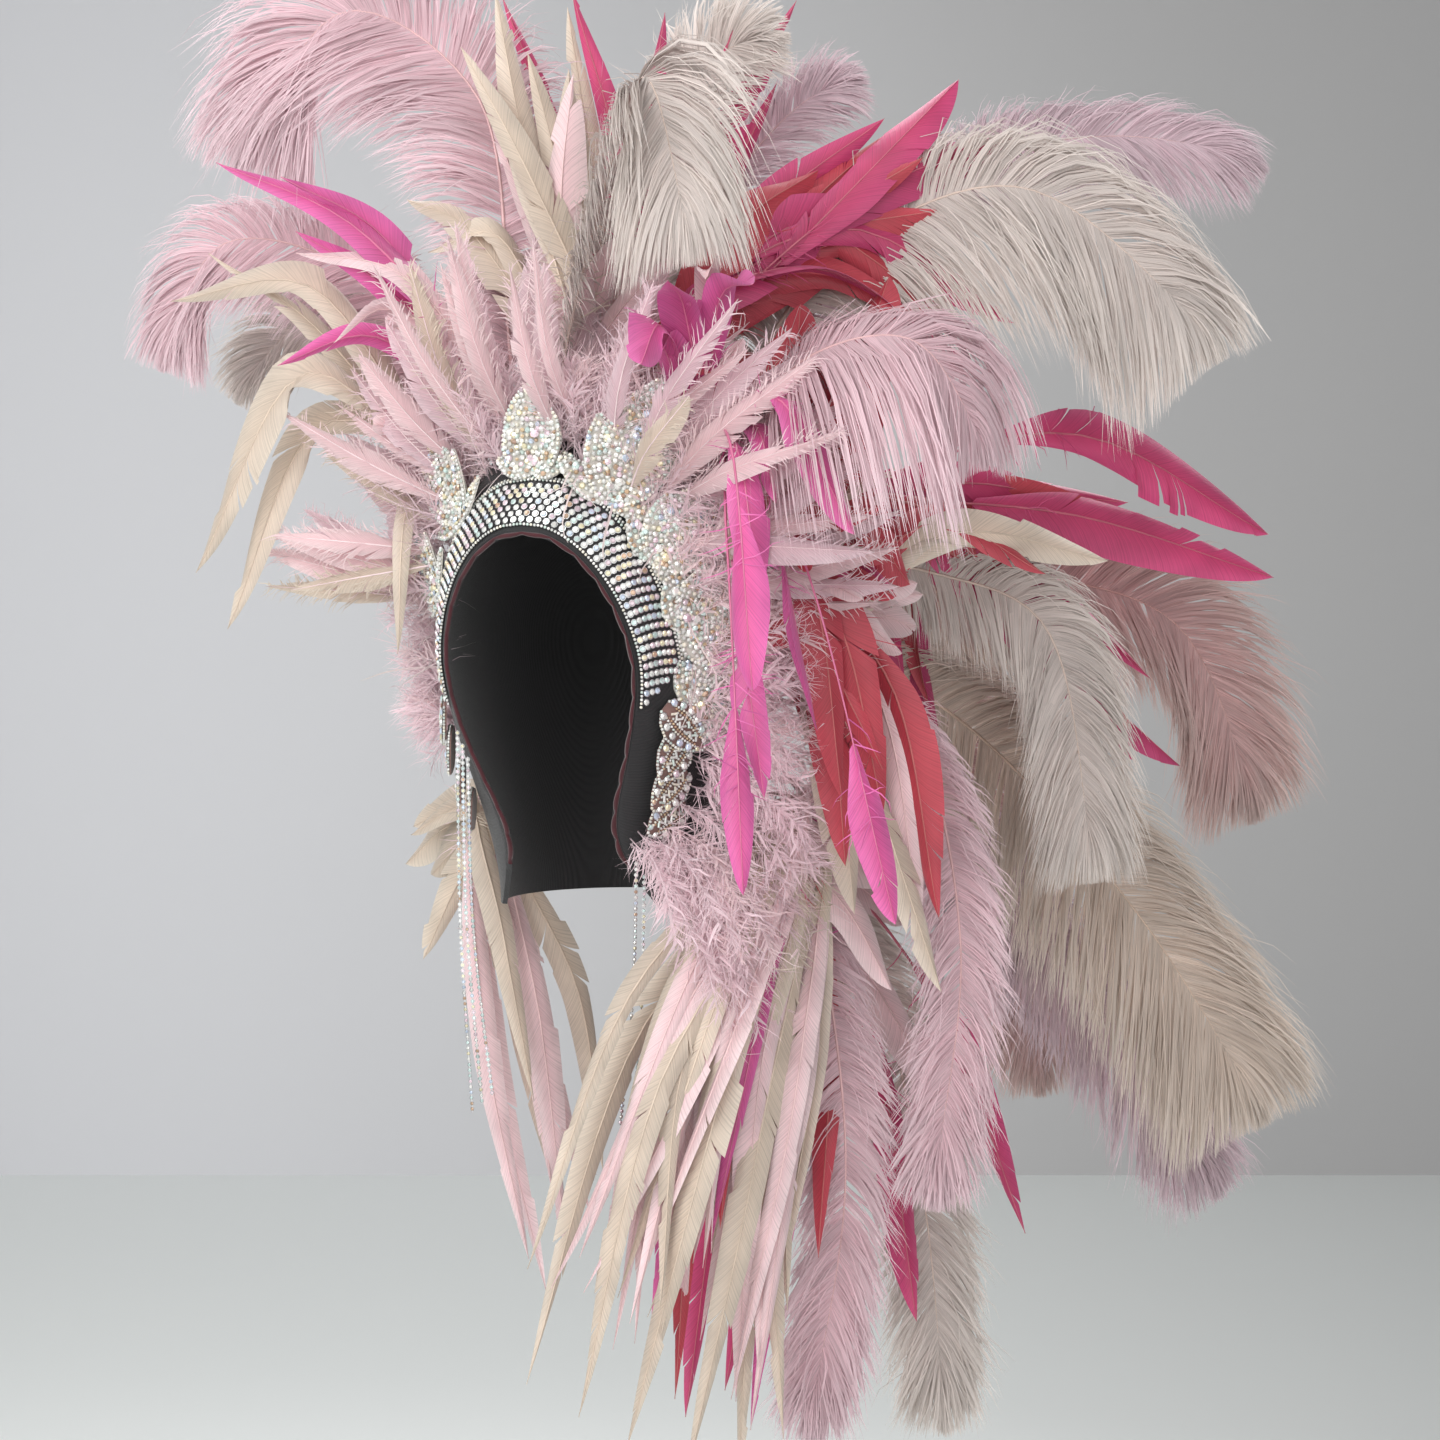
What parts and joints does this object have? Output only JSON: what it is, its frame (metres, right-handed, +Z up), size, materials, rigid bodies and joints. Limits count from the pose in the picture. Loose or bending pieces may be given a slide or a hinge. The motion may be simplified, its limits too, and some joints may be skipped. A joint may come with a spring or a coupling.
{
  "type": "carnival feather headdress",
  "caption": "Close black hood edged with a crystal band and beaded leaves, carrying a sweeping mane of pink, cream and ivory plumes, cut feathers and hanging crystal strands.",
  "frame": {"origin": "crown seat: where the top of the wearer's head meets the inside of the hood", "axes": "+Z up along the head, the face looks along -Y, +X is the wearer's left"},
  "size_m": [0.5259, 0.5303, 0.7586],
  "materials": {
    "beaded_leaf": "round stones, seed beads and bugle beads on felt",
    "black_net": "fine black net over a close knitted cap",
    "burgundy_felt": "burgundy felt with a scalloped edge",
    "crystal_mesh": "rows of small cut stones on a dark mesh",
    "cup_chain": "small clear stones in metal cups",
    "feather_blush": "pale pink hackle feather",
    "feather_coral": "coral red dyed feather",
    "feather_cream": "cream hackle feather",
    "feather_hot_pink": "hot pink dyed cut feather",
    "marabou_blush": "pale pink marabou down",
    "plume_blush": "pale pink ostrich plume",
    "plume_cream": "beige cream ostrich plume",
    "plume_dusty": "dusty pink ostrich plume",
    "plume_ivory": "ivory ostrich plume",
    "plume_mauve": "mauve pink ostrich plume"
  },
  "bodies": {
    "root": {"hood": "black_net", "felt_edge": "burgundy_felt", "crystal_band": "crystal_mesh", "tiara_leaf_1": "beaded_leaf", "tiara_leaf_2": "beaded_leaf", "tiara_leaf_3": "beaded_leaf", "tiara_leaf_4": "beaded_leaf", "tiara_leaf_5": "beaded_leaf", "tiara_leaf_6": "beaded_leaf", "tiara_leaf_7": "beaded_leaf", "side_leaf_left_1": "beaded_leaf", "side_leaf_left_2": "beaded_leaf", "side_leaf_left_3": "beaded_leaf", "side_leaf_left_4": "beaded_leaf", "side_leaf_right_1": "beaded_leaf", "side_leaf_right_2": "beaded_leaf", "side_leaf_right_3": "beaded_leaf", "side_leaf_right_4": "beaded_leaf", "side_vine_left": "beaded_leaf", "side_vine_right": "beaded_leaf", "chain_right_1": "cup_chain", "chain_right_2": "cup_chain", "chain_right_3": "cup_chain", "chain_left_1": "cup_chain", "chain_left_2": "cup_chain", "marabou_left": "marabou_blush", "marabou_right": "marabou_blush", "plume_crown_1": "plume_blush", "plume_crown_2": "plume_ivory", "plume_crown_3": "plume_ivory", "plume_crown_4": "plume_mauve", "plume_right_1": "plume_blush", "plume_right_2": "plume_ivory", "plume_left_1": "plume_ivory", "plume_left_2": "plume_mauve", "plume_left_3": "plume_blush", "plume_left_4": "plume_ivory", "plume_left_5": "plume_dusty", "plume_left_6": "plume_cream", "plume_left_7": "plume_mauve", "plume_left_8": "plume_blush", "plume_left_9": "plume_dusty", "plume_left_10": "plume_ivory", "plume_left_11": "plume_blush", "plume_back_1": "plume_blush", "plume_back_2": "plume_ivory", "plume_back_3": "plume_dusty", "plume_back_4": "plume_cream", "pink_fan_crown_right": "feather_hot_pink", "pink_fan_top": "feather_hot_pink", "pink_fan_top_left": "feather_hot_pink", "pink_cluster_left": "feather_hot_pink", "pink_fan_left": "feather_hot_pink", "pink_fan_low": "feather_hot_pink", "cream_fan_right": "feather_cream", "cream_fan_top": "feather_cream", "cream_fan_left": "feather_cream", "coral_fan_left": "feather_coral", "hackle_fall_left": "feather_cream", "hackle_fall_right": "feather_blush"}
  },
  "joints": []
}
